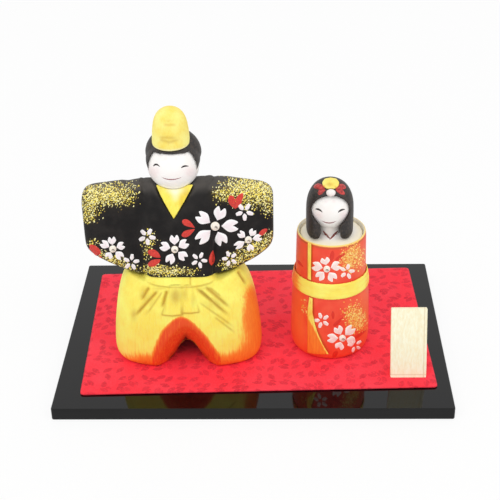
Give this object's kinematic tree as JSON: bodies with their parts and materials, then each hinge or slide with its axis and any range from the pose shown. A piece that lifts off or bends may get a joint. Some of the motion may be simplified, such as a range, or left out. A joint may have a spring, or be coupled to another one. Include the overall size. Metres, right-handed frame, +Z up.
{
  "type": "hina doll",
  "caption": "Standing pair of painted clay hina dolls, a lord with spread sleeves and a lady in a tube robe, on a red mat and black board with a blank tag.",
  "frame": {"origin": "middle of the board's underside, on the surface that the set stands on", "axes": "+X along the board's long side, from the lord to the lady; +Y to the back, away from the viewer; +Z up"},
  "size_m": [0.21, 0.145, 0.1532],
  "materials": {
    "black_lacquer": "black lacquered board, high gloss on top, satin on the edges",
    "red_crepe": "crimson crepe with a small darker scattered print",
    "pale_wood": "bare planed pale wood, upright grain",
    "gold_painted_clay": "matt gold-yellow brushed paint shading to orange red at the edges",
    "black_painted_clay": "matt charcoal black paint with gold dust and painted blossoms",
    "vermilion_painted_clay": "matt vermilion paint with gold dust and painted blossoms",
    "white_painted_clay": "smooth matt white face paint with pink cheeks",
    "hair_black_clay": "satin black paint",
    "pearl_white": "small glossy white bead"
  },
  "bodies": {
    "root": {"base_board": "black_lacquer", "red_mat": "red_crepe"},
    "emperor": {"emperor_hakama": "gold_painted_clay", "emperor_sash": "gold_painted_clay", "emperor_sash_end_left": "gold_painted_clay", "emperor_sash_end_right": "gold_painted_clay", "emperor_robe": "black_painted_clay", "emperor_sleeve_left": "black_painted_clay", "emperor_sleeve_right": "black_painted_clay", "emperor_collar": "gold_painted_clay", "emperor_head": "white_painted_clay", "emperor_hair": "hair_black_clay", "emperor_hat": "gold_painted_clay"},
    "empress": {"empress_gown": "vermilion_painted_clay", "empress_obi": "gold_painted_clay", "empress_lapel_upper": "gold_painted_clay", "empress_lapel_lower": "gold_painted_clay", "empress_under_robe": "white_painted_clay", "empress_head": "white_painted_clay", "empress_hair": "hair_black_clay", "empress_hair_fan": "gold_painted_clay", "empress_pearl": "pearl_white"},
    "tag": {"wooden_tag": "pale_wood"}
  },
  "joints": [
    {"name": "emperor_lift", "type": "slide", "parent": "root", "child": "emperor", "axis": [0, 0, 1], "range_m": [0, 0.05]},
    {"name": "empress_lift", "type": "slide", "parent": "root", "child": "empress", "axis": [0, 0, 1], "range_m": [0, 0.05]},
    {"name": "tag_lift", "type": "slide", "parent": "root", "child": "tag", "axis": [0, 0, 1], "range_m": [0, 0.05]}
  ]
}
